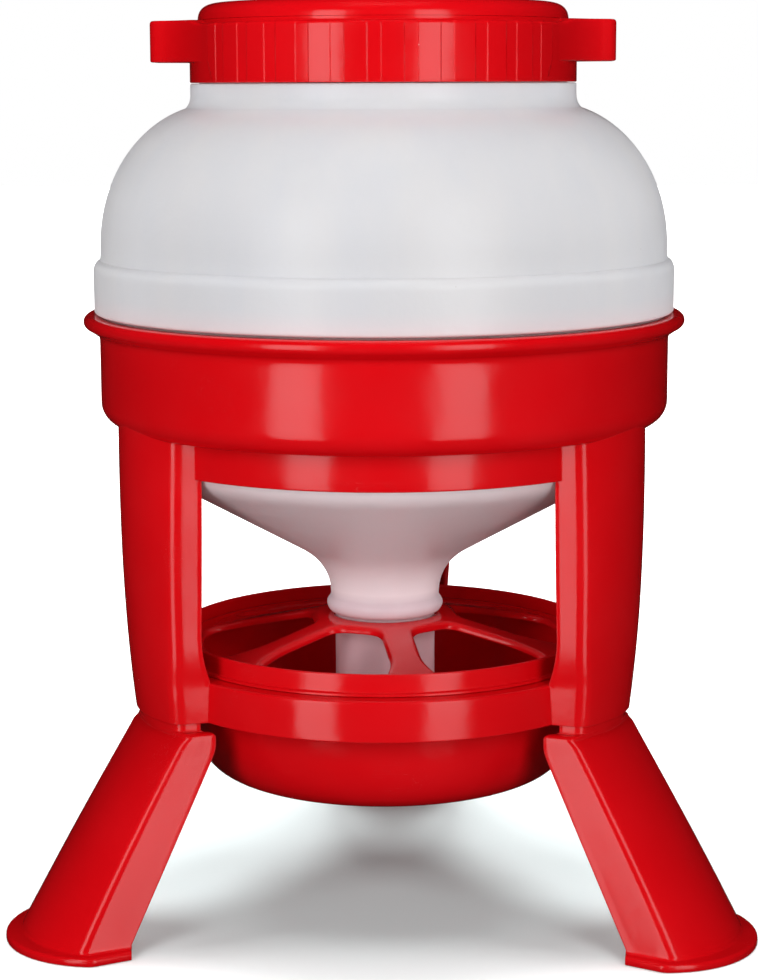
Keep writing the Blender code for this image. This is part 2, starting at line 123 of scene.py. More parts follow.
# Hopper
MOUTH_TOP = 0.5869
FINISH_R = 0.122
NECK_R = 0.1286
NECK_TOP = 0.5566
SHOULDER_R = 0.190
SHOULDER_Z = 0.450
SHOULDER_WIDE = 0.080
SHOULDER_TALL = 0.094
BAND_R = 0.195
HOPPER_WALL = 0.0028
CONE_R = 0.1172
CONE_Z = 0.276
CONE_RUN = 1.8
THROAT_R = 0.037
THROAT_LOW = 0.2095
BEAD_Z = 0.2032
BEAD_ROUND = 0.0062
TUBE_R = 0.034
TUBE_END = 0.125
SEAM_RISE = 0.00022
SEAM_HALF_ANGLE = 0.45

# Screw lid and its seal
LID_R = 0.1287
LID_BOTTOM = 0.557
LID_RING_TOP = 0.5948
LID_TOP = 0.609
LID_DOME_R = 0.123
LID_LAND = 0.590
EAR_REACH = 0.1538
EAR_HALF_ANGLE = 27
EAR_BOTTOM = 0.5705
EAR_TOP = 0.5975
GRIP_R = 0.1302
GRIP_HALF_ANGLE = 58
GRIP_PERIOD = 10.15
GRIP_WIDE = 6.3
GRIP_CENTRE = -5.55
GRIP_RECESS = 0.0004
GRIP_FLATNESS = 0.25
THREAD_LEAD = 0.012
THREAD_R = 0.0024
THREAD_TURNS = 0.9
THREAD_START = 0.566

# The footprint is centred on the origin, so the feeder's axis stands in front of it
AXIS_Y = (RIM_R - FOOT_REACH) / 2

# Colours of the red, milky and dust-speckled plastics
RED_DEEP = (0.680, 0.0020, 0.0050, 1)
RED_BRIGHT = (0.730, 0.0032, 0.0070, 1)
RED_WORN = (0.80, 0.10, 0.10, 1)
DUST = (0.85, 0.75, 0.72, 1)
MILKY_COOL = (0.645, 0.643, 0.676, 1)
MILKY_WARM = (0.683, 0.668, 0.682, 1)
# Painted red light: pink that the red stand bounces and shines onto the hopper from its rim down; the bead's
# colour also holds painted shade
MILKY_RIM_PAINTED_RED_LIGHT = (0.750, 0.660, 0.680, 1)
MILKY_PAINTED_RED_LIGHT = (0.860, 0.715, 0.740, 1)
MILKY_BEAD_PAINTED_RED_AND_SHADE = (0.640, 0.500, 0.535, 1)
MILKY_DEEP_PAINTED_RED_LIGHT = (0.900, 0.540, 0.585, 1)
MILKY_SPECK = (0.45, 0.38, 0.36, 1)
RUBBER_DARK = (0.070, 0.070, 0.076, 1)
RUBBER_PALE = (0.115, 0.115, 0.122, 1)

# Camera: metres from the feeder's axis, degrees, and millimetres of lens
CAMERA_AZIMUTH = -88.0
CAMERA_AWAY = 1.633
CAMERA_UP = 0.5544
CAMERA_PITCH = 9.50
CAMERA_YAW = 0.133
CAMERA_ROLL = -0.2
CAMERA_LENS = 88.6

# Lights: metres and watts; their azimuths count from the camera's side of the axis, in degrees
WORLD_FILL = 0.05
WORLD_MIRRORED = 0.004
BOX_SIDES = (("left", -33, 1.0), ("right", 29, 0.88))
BOX_AWAY = 1.75
BOX_WIDE = 0.58
BOX_TALL = 2.10
BOX_MIDDLE = 0.45
BOX_POWER = 9.8
FILL_POWER = 11.0
TOP_POWER = 6.4
GLOW_SIDES = (("left", -112), ("right", 99))
GLOW_POWER = 7.6
LOW_POWER = 6.6
LOW_SPREAD = 18
TABLE_LIGHTS = ((180, 45, 1.20), (135, 62, 1.05), (-135, 62, 1.05), (90, 62, 0.62), (-90, 62, 0.62))
TABLE_LIGHT_ANGLE = 22

# Table
FLOOR_REACH = 12.0
FLOOR_PALE = (0.88, 0.88, 0.88, 1)
FLOOR_PALER = (0.91, 0.91, 0.91, 1)
# Painted tint, less red round the feeder, against the red light it bounces onto the table; the table's glow
# is painted light, faint round the feeder and full further out
FLOOR_UNDER_PAINTED_LESS_RED = (0.81, 0.90, 0.90, 1)
FLOOR_GLOW = 0.09
FLOOR_BOUNCE = (0.18, 0.18, 0.18, 1)


def arc(centre, radius, start, end, steps):
    """Points (across, up) on a circle, from one angle to another, in degrees from the across axis."""
    points = []
    for index in range(steps + 1):
        angle = radians(start + (end - start) * index / steps)
        points.append((centre[0] + radius * cos(angle), centre[1] + radius * sin(angle)))
    return points


def bend(start, corner, end, steps):
    """Points of a smooth bend that leaves start towards corner and arrives at end from corner."""
    points = []
    for index in range(steps + 1):
        t = index / steps
        weights = ((1 - t) ** 2, 2 * t * (1 - t), t * t)
        points.append(tuple(
            weights[0] * a + weights[1] * b + weights[2] * c for a, b, c in zip(start, corner, end)
        ))
    return points


def rounded(corners, steps=5, closed=True):
    """An outline whose corners (x, y, radius) are filleted; an open one keeps its two ends."""
    outline = []
    count = len(corners)
    for index, (x, y, radius) in enumerate(corners):
        if not radius or (not closed and index in (0, count - 1)):
            outline.append((x, y))
            continue
        before = Vector(corners[index - 1][:2]) - Vector((x, y))
        after = Vector(corners[(index + 1) % count][:2]) - Vector((x, y))
        half = before.angle(after) / 2
        reach = min(radius / tan(half), 0.48 * before.length, 0.48 * after.length)
        start = Vector((x, y)) + before.normalized() * reach
        end = Vector((x, y)) + after.normalized() * reach
        outline.extend(bend(tuple(start), (x, y), tuple(end), steps))
    return outline


def dense(outline, longest):
    """The same open outline, with points added where two are further apart than longest."""
    points = [outline[0]]
    for (x0, y0), (x1, y1) in zip(outline, outline[1:]):
        pieces = max(1, ceil(hypot(x1 - x0, y1 - y0) / longest))
        for index in range(1, pieces + 1):
            t = index / pieces
            points.append((x0 + (x1 - x0) * t, y0 + (y1 - y0) * t))
    return points


def to_segment(point, start, end):
    """Distance from a point to a straight piece of outline."""
    across = end[0] - start[0]
    up = end[1] - start[1]
    square = across * across + up * up
    t = 0.0
    if square:
        t = max(0.0, min(1.0, ((point[0] - start[0]) * across + (point[1] - start[1]) * up) / square))
    return hypot(point[0] - start[0] - t * across, point[1] - start[1] - t * up)


def inner_side(outline, wall):
    """The inside of a wall whose outer side runs down the outline."""
    points = []
    for index, (x, y) in enumerate(outline):
        x0, y0 = outline[max(index - 1, 0)]
        x1, y1 = outline[min(index + 1, len(outline) - 1)]
        length = hypot(x1 - x0, y1 - y0)
        point = (x + wall * (y1 - y0) / length, y - wall * (x1 - x0) / length)
        near = outline[max(index - 12, 0):index + 13]
        if min(to_segment(point, a, b) for a, b in zip(near, near[1:])) > 0.97 * wall:
            points.append(point)
    return points


def new_object(name, points, faces, sharp=35):
    """A closed mesh about the feeder's axis, welded, facing outwards and smooth up to the sharp angle."""
    mesh = bpy.data.meshes.new(name)
    mesh.from_pydata(points, [], faces)
    work = bmesh.new()
    work.from_mesh(mesh)
    bmesh.ops.remove_doubles(work, verts=work.verts, dist=0.00001)
    bmesh.ops.recalc_face_normals(work, faces=work.faces)
    work.to_mesh(mesh)
    work.free()
    obj = bpy.data.objects.new(name, mesh)
    bpy.context.scene.collection.objects.link(obj)
    obj.location.y = AXIS_Y
    smooth(obj, sharp)
    return obj


def smooth(obj, sharp):
    """Smooth shading, with edges sharper than an angle in degrees left sharp."""
    obj.data.shade_smooth()
    obj.data.set_sharp_from_angle(angle=radians(sharp))


def even_angles(steps=STEPS):
    """Angles once round the axis, in degrees."""
    return [360 * index / steps for index in range(steps)]


def swept(name, outline_at, angles, closed=True, sharp=35):
    """Carries an outline of (radius, height) once round the axis; outline_at gives it for each angle."""
    points = []
    for angle in angles:
        across = cos(radians(angle))
        along = sin(radians(angle))
        points.extend((r * across, r * along, z) for r, z in outline_at(angle))
    width = len(points) // len(angles)
    faces = []
    for step in range(len(angles)):
        here = step * width
        there = (step + 1) % len(angles) * width
        for row in range(width if closed else width - 1):
            after = (row + 1) % width
            faces.append((here + row, there + row, there + after, here + after))
    return new_object(name, points, faces, sharp)


def turned(name, outline, steps=STEPS, sharp=35):
    """A solid of revolution about the feeder's axis."""
    return swept(name, lambda angle: outline, even_angles(steps), sharp=sharp)


def stacked(name, rings, azimuth=0.0, sharp=35):
    """A solid through closed rings of (x, y, z) points, capped at both ends and turned to an azimuth."""
    turn = Matrix.Rotation(radians(azimuth), 3, "Z")
    points = [turn @ Vector(point) for ring in rings for point in ring]
    width = len(rings[0])
    faces = [tuple(range(width)), tuple(reversed(range(len(points) - width, len(points))))]
    for row in range(len(rings) - 1):
        for column in range(width):
            after = (column + 1) % width
            low = row * width
            faces.append((low + column, low + after, low + width + after, low + width + column))
    return new_object(name, points, faces, sharp)


def apply_modifiers(obj):
    """Makes what the modifiers show the object's own mesh."""
    bpy.context.view_layer.update()
    graph = bpy.context.evaluated_depsgraph_get()
    mesh = bpy.data.meshes.new_from_object(obj.evaluated_get(graph))
    obj.modifiers.clear()
    obj.data = mesh


def combine(obj, others, operation, keep=False, sharp=35):
    """Joins the others to obj, or cuts them from it, and removes them unless they are kept for later."""
    for other in others:
        boolean = obj.modifiers.new("combine", "BOOLEAN")
        boolean.operation = operation
        boolean.solver = "EXACT"
        boolean.object = other
    apply_modifiers(obj)
    if not keep:
        for other in others:
            bpy.data.objects.remove(other, do_unlink=True)
    smooth(obj, sharp)


def channel(inner, outer, half, corner, face, draft):
    """Half-round channel in plan: side, rounded corner, bowed outer face, corner and side again.

    inner and outer are distances from the feeder's axis, half is half the width at the inner edges,
    corner is the radius of the corners, face is the radius of the outer face and draft is the angle
    at which the sides close in towards the outer face, in degrees.
    """
    side = radians(90 - draft)
    bow = face - corner
    reach = cos(side) * inner + sin(side) * half - corner
    turn = side - acos((reach - cos(side) * (outer - face)) / bow)
    centre = (outer - face + bow * cos(turn), bow * sin(turn))
    spread = degrees(turn)
    rounding = arc(centre, corner, 90 - draft, spread, 10)
    first = (inner + EDGE_ROUND, half - EDGE_ROUND * tan(radians(draft)))
    end = rounding[0]
    flank = [(first[0] + (end[0] - first[0]) * step / 5, first[1] + (end[1] - first[1]) * step / 5)
             for step in range(5)]
    upper = [(inner, half)] + flank + rounding
    face_points = arc((outer - face, 0), face, spread, -spread, 20)[1:-1]
    return upper + face_points + [(x, -y) for x, y in reversed(upper)]


def c_ring(outside, inside, height):
    """A closed ring of points round a channel's wall, with its two long edges rounded."""
    soft = 0.0009
    ends = []
    for sign, (x, y) in ((1, outside[0]), (-1, outside[-1])):
        y_in = inside[0][1] if sign > 0 else inside[-1][1]
        run = [(x + soft, y), (x + 0.3 * soft, y - sign * 0.3 * soft), (x, y - sign * soft)]
        run += [(x, y_in + sign * soft), (x + 0.3 * soft, y_in + sign * 0.3 * soft), (x + soft, y_in)]
        ends.append(run)
    plan = outside[1:-1] + ends[1] + list(reversed(inside[1:-1])) + list(reversed(ends[0]))
    return [(x, y, height) for x, y in plan]


def mixed(first, second, t):
    """Plan points at a share of the way from one outline to another."""
    return [(a + (c - a) * t, b + (d - b) * t) for (a, b), (c, d) in zip(first, second)]


def thread_rise(angle, height, start):
    """How far the rounded thread ridge stands out of its wall."""
    rise = 0.0
    for turn in (0, 1):
        along = angle / 360 + turn
        off = height - start - THREAD_LEAD * along
        if along < THREAD_TURNS and abs(off) < THREAD_R:
            fade = min(1.0, along / 0.03, (THREAD_TURNS - along) / 0.03)
            rise = max(rise, fade * sqrt(THREAD_R ** 2 - off ** 2))
    return rise


def column_plan(height, inset):
    """Outline of a column in plan at a height, or of its inside if inset is its wall."""
    drop = (COLUMN_TOP - height) / (COLUMN_TOP - STAND_BOTTOM)
    outer = COLUMN_TOP_R - (COLUMN_TOP_R - COLUMN_FOOT_R) * drop ** 2.6
    half = COLUMN_TOP_HALF - (COLUMN_TOP_HALF - COLUMN_FOOT_HALF) * drop ** 2
    face = COLUMN_TOP_FACE + (COLUMN_FOOT_FACE - COLUMN_TOP_FACE) * drop
    flare = max(0.0, min(1.0, (COLUMN_FLARE_TOP - height) / (COLUMN_FLARE_TOP - RING_TOP)))
    edge = COLUMN_EDGE - (COLUMN_EDGE - COLUMN_FLARE_R) * flare ** 2.0
    return channel(edge, outer - inset, half - inset / cos(radians(COLUMN_DRAFT)),
                   COLUMN_ROUND - inset, face - inset, COLUMN_DRAFT)


def basket_outline():
    """Section of basket and skirt: rolled rim, wall, rounded step, skirt and back up inside."""
    inner = BASKET_R - WALL
    step = (BASKET_R - STEP_ROUND, STEP_TOP)
    step_low = STEP_TOP - STEP_ROUND
    edge_z = SKIRT_BOTTOM + EDGE_ROUND
    outside = (
        arc((RIM_R - RIM_ROLL, RIM_TOP - RIM_ROLL), RIM_ROLL, 90, -75, 14)
        + bend((BASKET_R + 0.0040, RIM_TOP - 0.0112), (BASKET_R, RIM_TOP - 0.0120),
               (BASKET_R, RIM_TOP - 0.0180), 8)
        + dense([(BASKET_R, RIM_TOP - 0.0190), (BASKET_R, STEP_TOP + 0.001)], 0.008)
        + arc(step, STEP_ROUND, 0, -84, 14)
        + bend((SKIRT_R + 0.0016, step_low), (SKIRT_R, step_low), (SKIRT_R, step_low - 0.0016), 5)
        + dense([(SKIRT_R, step_low - 0.003), (SKIRT_R, edge_z)], 0.005)
        + arc((SKIRT_R - EDGE_ROUND, edge_z), EDGE_ROUND, 0, -90, 4)[1:]
    )
    inside = (
        arc((SKIRT_R - WALL + EDGE_ROUND, edge_z), EDGE_ROUND, -90, -180, 4)
        + [(SKIRT_R - WALL, step_low + WALL)]
        + arc(step, STEP_ROUND - WALL, -90, 0, 10)
        + [(inner, RIM_TOP - 0.0060)]
        + bend((inner, RIM_TOP - 0.0040), (inner, RIM_TOP), (inner + 0.0040, RIM_TOP), 5)
    )
    return outside + inside


def build_stand():
    """Basket, skirt, columns and lower ring as one moulding."""
    stand = turned("stand_frame", basket_outline())
    ring = turned("lower_ring", rounded([
        (LEDGE_R, RING_TOP, 0.0006), (RING_R, RING_TOP, 0.0022), (RING_R, STAND_BOTTOM, 0.0008),
        (RING_R - WALL, STAND_BOTTOM, 0.0008), (RING_R - WALL, RING_TOP - WALL, 0.001),
        (LEDGE_R, RING_TOP - WALL, 0.0006),
    ]))
    level_step = 0.004
    levels = [COLUMN_TOP - level_step * index for index in range(52)]
    levels = [height for height in levels if height > STAND_BOTTOM + level_step / 2]
    levels += [STAND_BOTTOM + 0.0010, STAND_BOTTOM]
    rings = [c_ring(column_plan(height, 0), column_plan(height, WALL), height) for height in levels]
    step = (BASKET_R - STEP_ROUND, STEP_TOP)
    middle = STEP_ROUND - WALL / 2
    within = 0.0006
    above = STEP_TOP + 0.020
    below = STAND_BOTTOM - 0.010
    inside = 0.120
    room = turned("basket_room", (
        [(BASKET_R + 0.002, above)] + arc(step, middle, 0, -90, 20)
        + [(SKIRT_R - WALL / 2, STEP_TOP - middle), (SKIRT_R - WALL / 2, SKIRT_BOTTOM + within)]
        + [(inside, SKIRT_BOTTOM + within), (inside, above)]
    ))
    lower_room = turned("lower_ring_room", [
        (inside, RING_TOP - within), (RING_R - WALL / 2, RING_TOP - within),
        (RING_R - WALL / 2, below), (inside, below),
    ])
    columns = [stacked(f"column_{azimuth}", rings, azimuth) for azimuth in LEG_AZIMUTHS.values()]
    for column in columns:
        combine(column, [room, lower_room], "DIFFERENCE", keep=True)
    for helper in (room, lower_room):
        bpy.data.objects.remove(helper, do_unlink=True)
    combine(stand, columns + [ring], "UNION")
    dress(stand, "stand", red_plastic, "red_plastic", *frame["record"]["behaviour"]["bodies"]["stand"])


def leg_plan(height, inset):
    """Outline of a leg in plan at a height, or of its inside if inset is its wall."""
    drop = (LEG_TOP - height) / LEG_TOP
    outer = LEG_TOP_R + (LEG_FOOT_R - LEG_TOP_R) * drop
    below = LEG_KNEE - height
    inner = LEG_EDGE_R + LEG_EDGE_LEAN * (below + sqrt(below ** 2 + 0.003 ** 2)) / 2
    half = LEG_TOP_HALF + (LEG_FOOT_HALF - LEG_TOP_HALF) * drop
    corner = LEG_TOP_ROUND + (LEG_FOOT_ROUND - LEG_TOP_ROUND) * drop
    face = LEG_TOP_FACE + (LEG_FOOT_FACE - LEG_TOP_FACE) * drop
    draft = LEG_TOP_DRAFT + (LEG_FOOT_DRAFT - LEG_TOP_DRAFT) * drop
    return channel(inner, outer - inset, half - inset / cos(radians(draft)), corner - inset,
                   face - inset, draft)


def spigot_plan(inset):
    """Outline of a leg's spigot in plan, which slips into the column."""
    inset += WALL + SPIGOT_SLIP
    draft = radians(COLUMN_DRAFT)
    half = COLUMN_FOOT_HALF - inset / cos(draft) - (SPIGOT_EDGE - COLUMN_FLARE_R) * tan(draft)
    return channel(SPIGOT_EDGE, COLUMN_FOOT_R - inset, half, COLUMN_ROUND - inset,
                   COLUMN_FOOT_FACE - inset, COLUMN_DRAFT)


def build_legs():
    """Three channel legs, each with a spigot, a shoulder and a foot with a rolled flange."""
    neck = spigot_plan(0)
    neck_in = spigot_plan(WALL)
    rings = [c_ring(neck, neck_in, height) for height in (SPIGOT_TOP, 0.172, 0.156, LEG_TOP + 0.003)]
    shoulder = leg_plan(LEG_TOP, 0)
    shoulder_in = leg_plan(LEG_TOP, WALL)
    for t, drop in ((0.0, -0.0006), (0.12, -0.0001), (0.3, 0.0), (0.62, 0.0001), (0.83, 0.0006),
                    (0.96, 0.0014), (1.0, 0.0024)):
        top_in = mixed(neck_in, shoulder_in, t)
        rings.append(c_ring(mixed(neck, shoulder, t), top_in, LEG_TOP - drop))
    heights = [LEG_TOP - 0.0024 - 0.0031 * index for index in range(1, 42)]
    fillet = 0.0022
    heights = [height for height in heights if height > FLANGE_THICK + fillet + 0.001]
    for height in heights + [FLANGE_THICK + fillet]:
        rings.append(c_ring(leg_plan(height, 0), leg_plan(height, WALL), height))
    foot = channel(FOOT_EDGE_R, FOOT_REACH - FOOT_TIP_INSET, FOOT_HALF, FOOT_ROUND, FOOT_FACE, 0)
    wall_low = leg_plan(FLANGE_THICK + fillet, 0)
    hollow = leg_plan(FLANGE_THICK, WALL)

    def flange_row(measure, back):
        row = []
        for (x0, y0), (x1, y1) in zip(wall_low, foot):
            length = max(hypot(x1 - x0, y1 - y0), 0.0001)
            t = min(1.0, measure / length)
            t = 1.0 - t if back else t
            row.append((x0 + (x1 - x0) * t, y0 + (y1 - y0) * t))
        return row

    for angle in (25, 50, 70, 90):
        turn = radians(angle)
        height = FLANGE_THICK + fillet * (1 - sin(turn))
        rings.append(c_ring(flange_row(fillet * (1 - cos(turn)), False), hollow, height))
    roll = 0.0024
    for angle in (0, 25, 50, 70, 90):
        turn = radians(angle)
        height = FLANGE_THICK - roll * (1 - cos(turn))
        rings.append(c_ring(flange_row(roll * (1 - sin(turn)), True), hollow, height))
    rings.append(c_ring(foot, hollow, 0.0008))
    rings.append(c_ring(flange_row(0.0003, True), hollow, 0.0002))
    rings.append(c_ring(flange_row(0.0008, True), hollow, 0.0))
    for name, azimuth in LEG_AZIMUTHS.items():
        leg = stacked(f"{name}_moulding", rings, azimuth)
        dress(leg, name, red_plastic, "red_plastic", name)


def build_pan():
    """The round pan, with a lip that hangs on the lower ring and a low cone in its middle."""
    lip = RING_TOP + GAP
    ledge = lip + 0.002
    bowl_r = LEDGE_R - 0.0015
    floor_r = 0.100
    inner_r = bowl_r - PAN_WALL
    floor_in = PAN_FLOOR + PAN_WALL
    rim_in = PAN_RIM_R - PAN_WALL
    outline = (
        [(0, PAN_FLOOR + 0.0200), (0.005, PAN_FLOOR + 0.0197)]
        + bend((0.010, PAN_FLOOR + 0.019), (0.055, floor_in), (0.068, floor_in), 10)
        + [(0.085, floor_in)]
        + bend((floor_r, floor_in), (0.1285, floor_in), (0.1325, 0.130), 18)
        + dense([(0.1328, 0.133), (inner_r, ledge - 0.0015)], 0.008)
        + bend((inner_r, ledge - 0.0010), (inner_r, ledge), (inner_r + 0.001, ledge), 3)
        + bend((rim_in - 0.001, ledge), (rim_in, ledge), (rim_in, ledge + 0.001), 3)
        + [(rim_in, PAN_RIM_TOP - 0.0045)]
        + bend((rim_in, PAN_RIM_TOP - 0.0012), (rim_in, PAN_RIM_TOP), (PAN_RIM_R - 0.0013, PAN_RIM_TOP), 4)
        + bend((PAN_RIM_R - 0.0012, PAN_RIM_TOP), (PAN_RIM_R, PAN_RIM_TOP),
               (PAN_RIM_R, PAN_RIM_TOP - 0.0012), 4)
        + dense([(PAN_RIM_R, PAN_RIM_TOP - 0.003), (PAN_RIM_R, lip + 0.0040)], 0.003)
        + bend((PAN_RIM_R, lip + 0.0030), (PAN_RIM_R, lip + 0.0020), (PAN_RIM_R + 0.0010, lip + 0.0019), 4)
        + bend((PAN_RIM_R + 0.0015, lip + 0.0018), (PAN_RIM_R + 0.0025, lip + 0.0016),
               (PAN_RIM_R + 0.0025, lip + 0.0008), 3)
        + [(PAN_RIM_R + 0.0025, lip), (bowl_r + 0.0006, lip), (bowl_r, lip - 0.0006)]
        + dense([(bowl_r - 0.0001, lip - 0.002), (0.1353, 0.133)], 0.008)
        + bend((0.135, 0.130), (0.131, PAN_FLOOR), (floor_r, PAN_FLOOR), 18)
        + [(0.085, PAN_FLOOR)]
        + bend((0.068, PAN_FLOOR), (0.055, PAN_FLOOR), (0.010, PAN_FLOOR + 0.0165), 10)
        + [(0, PAN_FLOOR + 0.0175)]
    )
    pan = turned("feed_pan_moulding", outline)
    dress(pan, "pan", red_plastic, "red_plastic", "feed_pan")


def opening_plan():
    """One grid opening in plan about +X."""
    slope = radians(180 / OPENING_COUNT)
    inner_x = 0.050
    outer_x = 0.1275
    widest_x = 0.090
    inner_y = inner_x * tan(slope) - SPOKE_HALF / cos(slope)
    outer_y = widest_x * tan(slope) - SPOKE_HALF / cos(slope)
    return rounded([
        (inner_x, -inner_y, 0.014), (widest_x, -outer_y, 0.060), (outer_x - 0.009, -outer_y - 0.006, 0.014),
        (outer_x, 0, 0.080), (outer_x - 0.009, outer_y + 0.006, 0.014), (widest_x, outer_y, 0.060),
        (inner_x, inner_y, 0.014),
    ], steps=14)


def ray_hit(centre, target, outline):
    """Where the line from centre towards target crosses a closed outline."""
    cx, cy = centre
    dx, dy = target[0] - cx, target[1] - cy
    best = None
    for (ax, ay), (bx, by) in zip(outline, outline[1:] + outline[:1]):
        ex, ey = bx - ax, by - ay
        cross = dx * ey - dy * ex
        if abs(cross) < 1e-12:
            continue
        t = ((ax - cx) * ey - (ay - cy) * ex) / cross
        u = ((ax - cx) * dy - (ay - cy) * dx) / cross
        if t > 0 and -1e-6 <= u <= 1 + 1e-6 and (best is None or t > best):
            best = t
    return (cx + dx * best, cy + dy * best)


def grid_height(radius):
    """Top face of the grid: a flat hub, a cone and a rim, blended where they meet."""
    rim_top = RING_TOP + 0.0026 + GRID_THICK + 0.0005
    run = GRID_SLOPE_R - GRID_HUB_R
    t = (radius - GRID_HUB_R) / run
    blend = 0.07
    low = (t + sqrt(t * t + blend ** 2)) / 2
    high = t - 1
    return GRID_HUB_TOP - (GRID_HUB_TOP - rim_top) * (low - (high + sqrt(high * high + 0.03 ** 2)) / 2)


def quad_rows(first, rows, width, flip=False):
    """Faces between rows of points that each close on themselves, from the index of the first point."""
    faces = []
    for row in range(rows - 1):
        for column in range(width):
            a = first + row * width + column
            b = first + row * width + (column + 1) % width
            face = (a, a + width, b + width, b)
            faces.append(tuple(reversed(face)) if flip else face)
    return faces


def build_grid():
    """The anti-waste wheel: six openings whose edges are rolled down, so that no feed is raked out."""
    half = 180 / OPENING_COUNT
    bore_r = GRID_BORE + 0.003
    rim_r = GRID_SLOPE_R + 0.002
    along = 30
    round_steps = 24
    plan = opening_plan()
    centre = (0.092, 0.0)
    spoke = [(radians(-half), bore_r + (rim_r - bore_r) * i / along) for i in range(along)]
    rim = [(radians(-half + 2 * half * i / round_steps), rim_r) for i in range(round_steps)]
    back = [(radians(half), rim_r + (bore_r - rim_r) * i / along) for i in range(along)]
    hub = [(radians(half - 2 * half * i / round_steps), bore_r) for i in range(round_steps)]
    frame_points = [(r * cos(a), r * sin(a)) for a, r in spoke + rim + back + hub]
    roll_wide = 0.0042
    roll_deep = 0.0036
    edge_rows = [(0.0, GRID_COLLAR - GRID_THICK), (0.0, roll_deep + 0.0008)]
    for angle in (90, 72, 54, 38, 24, 12, 0):
        turn = radians(angle)
        edge_rows.append((roll_wide * (1 - sin(turn)), roll_deep * (1 - cos(turn))))
    rows = []
    for distance, drop in edge_rows:
        row = []
        for target in frame_points:
            start = ray_hit(centre, target, plan)
            length = hypot(target[0] - start[0], target[1] - start[1])
            t = min(distance / length, 0.92)
            x = start[0] + (target[0] - start[0]) * t
            y = start[1] + (target[1] - start[1]) * t
            row.append((x, y, grid_height(hypot(x, y)) - drop))
        rows.append(row)
    last = rows[-1]
    for t in (0.35, 0.7, 1.0):
        row = []
        for (x0, y0, _), (x1, y1) in zip(last, frame_points):
            x = x0 + (x1 - x0) * t
            y = y0 + (y1 - y0) * t
            row.append((x, y, grid_height(hypot(x, y))))
        rows.append(row)
    points = []
    faces = []
    width = len(frame_points)
    for index in range(OPENING_COUNT):
        turn = Matrix.Rotation(radians(FIRST_OPENING + index * 2 * half), 3, "Z")
        first = len(points)
        points.extend(turn @ Vector(point) for row in rows for point in row)
        faces += quad_rows(first, len(rows), width)
    rim_rows = [(rim_r, 0), (0.1355, 0), (GRID_R - 0.0012, 0), (GRID_R - 0.0003, 0.0003),
                (GRID_R, 0.0010)]
    bore_rows = [(bore_r, 0), (GRID_BORE + 0.0012, 0.0002), (GRID_BORE + 0.0003, 0.0008), (GRID_BORE, 0.0018)]
    count = round_steps * OPENING_COUNT
    for strip, flip in ((rim_rows, False), (bore_rows, True)):
        first = len(points)
        for radius, drop in strip:
            for step in range(count):
                angle = radians(FIRST_OPENING - half + 360 * step / count)
                height = grid_height(radius) - drop
                points.append((radius * cos(angle), radius * sin(angle), height))
        faces += quad_rows(first, len(strip), count, flip)
    grid = new_object("anti_waste_wheel", points, faces)
    face_up(grid)
    wall = grid.modifiers.new("wall", "SOLIDIFY")
    wall.thickness = GRID_THICK - 0.0003
    wall.offset = -1
    apply_modifiers(grid)
    smooth(grid, 40)
    dress(grid, "grid", red_plastic, "red_plastic", "anti_waste_grid")


def face_up(obj):
    """Turns an open sheet over if its highest face looks down."""
    top = max(obj.data.polygons, key=lambda face: face.center.z)
    if top.normal.z < 0:
        obj.data.flip_normals()


